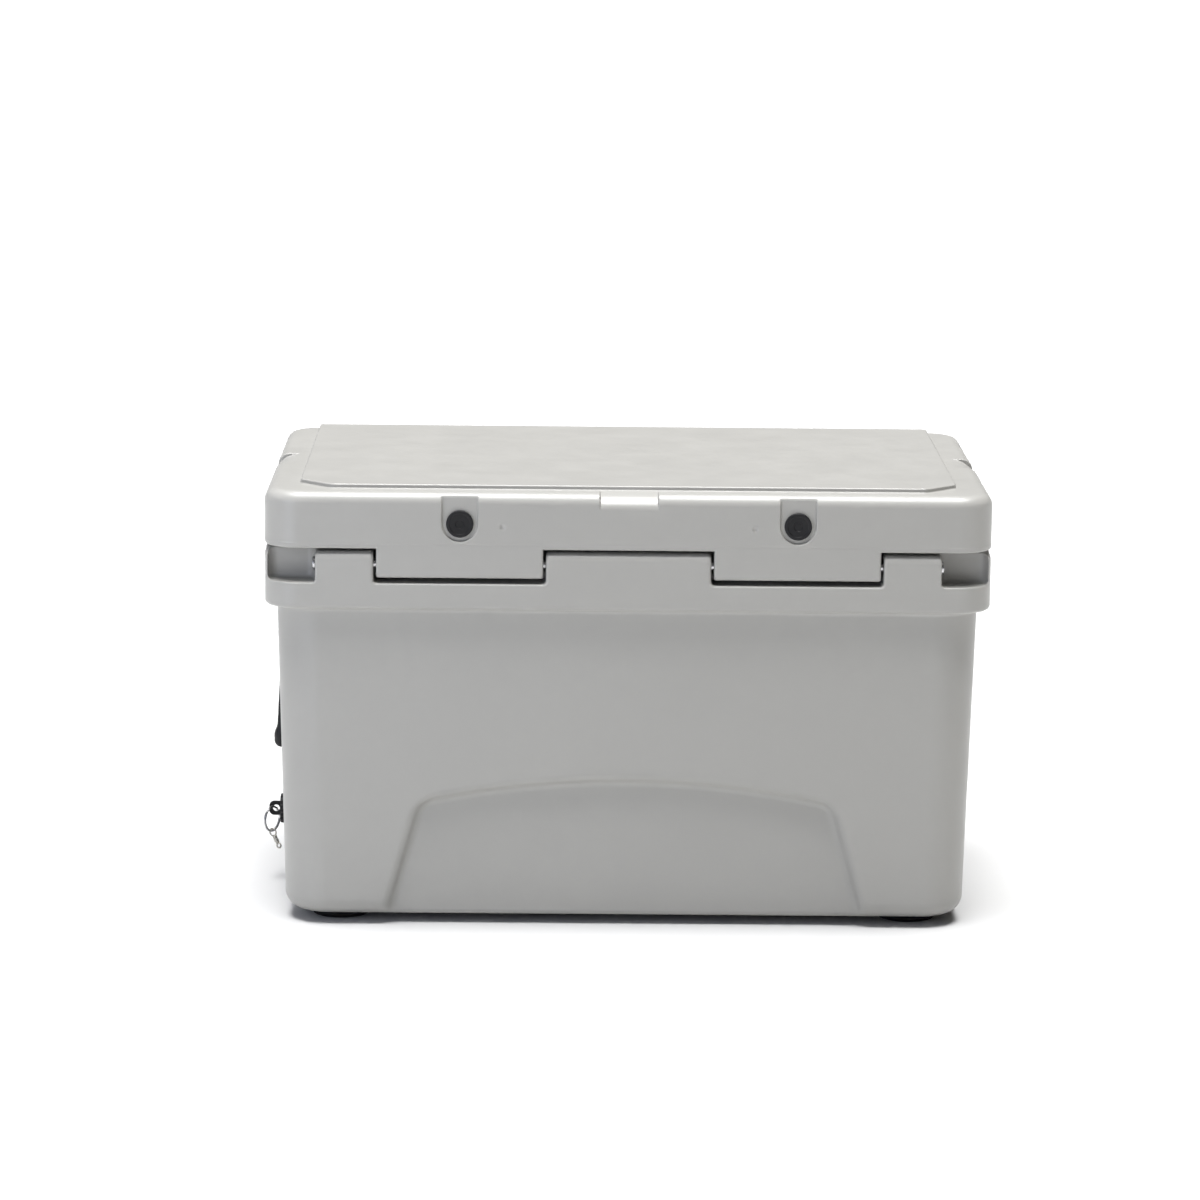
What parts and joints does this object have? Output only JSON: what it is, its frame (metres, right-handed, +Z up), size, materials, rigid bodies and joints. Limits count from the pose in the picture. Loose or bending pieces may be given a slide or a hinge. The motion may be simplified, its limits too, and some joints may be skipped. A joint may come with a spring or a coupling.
{
  "type": "hard-sided cooler",
  "caption": "Hard-sided insulated cooler with a hinged lid, two pull-over latches, swing-up end handles, a screw-in drain plug and low rubber feet.",
  "frame": {"origin": "on the floor, under the middle of the whole object's box", "axes": "+Z up; X runs along the length, with the drain on the -X end; the hinge side faces -Y and the latch side faces +Y"},
  "size_m": [0.6656, 0.4126, 0.405],
  "materials": {
    "moulded_shell": "fine orange-peel rotomoulded polyethylene, light grey",
    "foam": "rigid polyurethane foam",
    "black_plastic": "moulded black nylon, fine texture",
    "black_rubber": "matt moulded rubber",
    "grey_rubber": "soft seal rubber",
    "steel": "stainless",
    "nickel": "worn nickel plate"
  },
  "bodies": {
    "body": {"body_shell": "moulded_shell", "body_foam": "foam", "base_fill_caps": "black_plastic", "foot_back_left": "black_rubber", "foot_back_right": "black_rubber", "foot_front_left": "black_rubber", "foot_front_right": "black_rubber", "foot_screws": "steel", "hinge_pin_left": "steel", "hinge_pin_right": "steel", "latch_pin_left": "steel", "latch_pin_right": "steel", "latch_anchor_left": "black_plastic", "latch_anchor_right": "black_plastic", "latch_screws": "steel", "handle_bracket_left": "black_plastic", "handle_bracket_right": "black_plastic", "handle_pins_left": "steel", "handle_pins_right": "steel", "handle_screws": "steel", "drain_fitting": "black_plastic", "drain_nut": "black_plastic", "drain_washer": "grey_rubber"},
    "lid": {"lid_shell": "moulded_shell", "lid_foam": "foam", "lid_gasket": "grey_rubber", "fill_cap_left": "black_plastic", "fill_cap_right": "black_plastic"},
    "latch_left": {"latch_left": "black_rubber"},
    "latch_right": {"latch_right": "black_rubber"},
    "handle_left": {"handle_left": "black_plastic"},
    "handle_right": {"handle_right": "black_plastic"},
    "seal": {"plug_seal": "grey_rubber"},
    "plug": {"drain_plug": "black_plastic"},
    "ring": {"plug_ring": "steel"},
    "swivel": {"ring_swivel": "nickel"}
  },
  "joints": [
    {"name": "lid_hinge", "type": "hinge", "parent": "body", "child": "lid", "pos_m": [0, -0.19485, 0.335], "axis": [1, 0, 0], "range_deg": [0, 100]},
    {"name": "latch_left_swing", "type": "hinge", "parent": "body", "child": "latch_left", "pos_m": [-0.14542, 0.20035, 0.301], "axis": [1, 0, 0], "range_deg": [0, 180]},
    {"name": "latch_right_swing", "type": "hinge", "parent": "body", "child": "latch_right", "pos_m": [0.15707, 0.20035, 0.301], "axis": [1, 0, 0], "range_deg": [0, 180]},
    {"name": "handle_left_swing", "type": "hinge", "parent": "body", "child": "handle_left", "pos_m": [-0.30899, 0, 0.23], "axis": [0, 1, 0], "range_deg": [-2.7, 92]},
    {"name": "handle_right_swing", "type": "hinge", "parent": "body", "child": "handle_right", "pos_m": [0.32064, 0, 0.23], "axis": [0, -1, 0], "range_deg": [0, 95]},
    {"name": "plug_slide", "type": "slide", "parent": "body", "child": "seal", "axis": [-1, 0, 0], "range_m": [0, 0.012]},
    {"name": "plug_turn", "type": "hinge", "parent": "seal", "child": "plug", "pos_m": [-0.31417, -0.00135, 0.065], "axis": [-1, 0, 0], "range_deg": [0, 1080]},
    {"name": "ring_swing", "type": "hinge", "parent": "plug", "child": "ring", "pos_m": [-0.32216, -0.00135, 0.065], "axis": [0, 1, 0], "range_deg": [0, 60]},
    {"name": "swivel_swing", "type": "hinge", "parent": "ring", "child": "swivel", "pos_m": [-0.3251, -0.00756, 0.04263], "axis": [-0.5299, -0.848, 0], "range_deg": [0, 12]}
  ],
  "couplings": [
    {"joint": "plug_slide", "follows": "plug_turn", "m_per_rad": 0.0006366}
  ]
}
